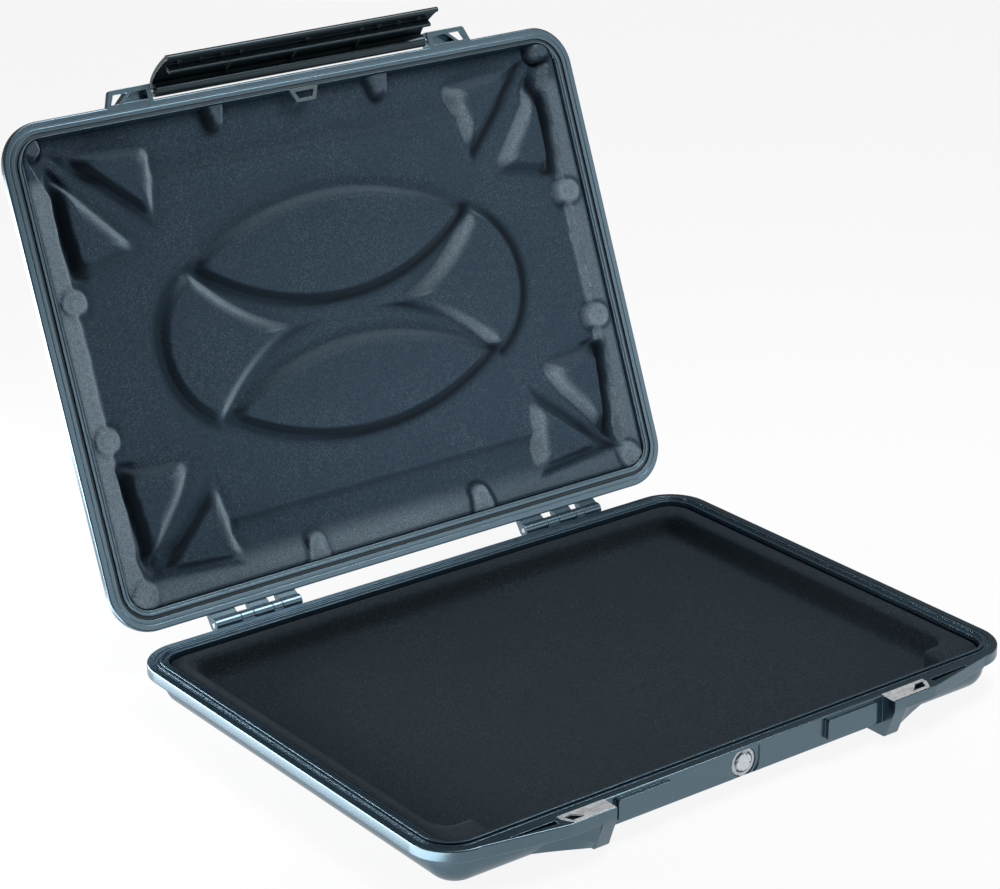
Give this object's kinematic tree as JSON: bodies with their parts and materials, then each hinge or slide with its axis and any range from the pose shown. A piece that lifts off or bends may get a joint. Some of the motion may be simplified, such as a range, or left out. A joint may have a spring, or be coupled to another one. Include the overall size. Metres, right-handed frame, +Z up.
{
  "type": "laptop hard case",
  "caption": "Flat hard plastic case for a laptop, standing open, with foam liners, two rear hinges, a wide front latch flap and a pressure vent.",
  "frame": {"origin": "middle of the base's flat underside", "axes": "+X to the right seen from the front, +Y to the back, towards the hinges, +Z up"},
  "size_m": [0.436, 0.471, 0.3607],
  "materials": {
    "shell_plastic": "satin",
    "liner_foam": "matte",
    "loop_plastic": "satin",
    "seal_rubber": "matte",
    "vent_plastic": "satin",
    "vent_silver": "satin",
    "membrane_film": "matte",
    "pin_steel": "satin",
    "plate_steel": "polished"
  },
  "bodies": {
    "base": {"base_shell": "shell_plastic", "base_liner": "liner_foam", "padlock_plate_left": "plate_steel", "padlock_plate_right": "plate_steel", "vent_seal": "seal_rubber", "vent_body": "vent_silver", "vent_membrane": "membrane_film", "vent_cap": "vent_silver", "vent_nut": "vent_plastic", "hinge_pin_left": "pin_steel", "hinge_pin_right": "pin_steel"},
    "lid": {"lid_shell": "shell_plastic", "lid_liner": "liner_foam", "rim_seal": "seal_rubber", "liner_loop": "loop_plastic", "latch_pin_left": "pin_steel", "latch_pin_right": "pin_steel"},
    "latch": {"latch_flap": "shell_plastic"}
  },
  "joints": [
    {"name": "lid_hinge", "type": "hinge", "parent": "base", "child": "lid", "pos_m": [0, 0.167, 0.027], "axis": [1, 0, 0], "range_deg": [0, 111.5]},
    {"name": "latch_hinge", "type": "hinge", "parent": "lid", "child": "latch", "pos_m": [0, 0.29251, 0.33471], "axis": [1, 0, 0], "range_deg": [-45, 34]}
  ]
}
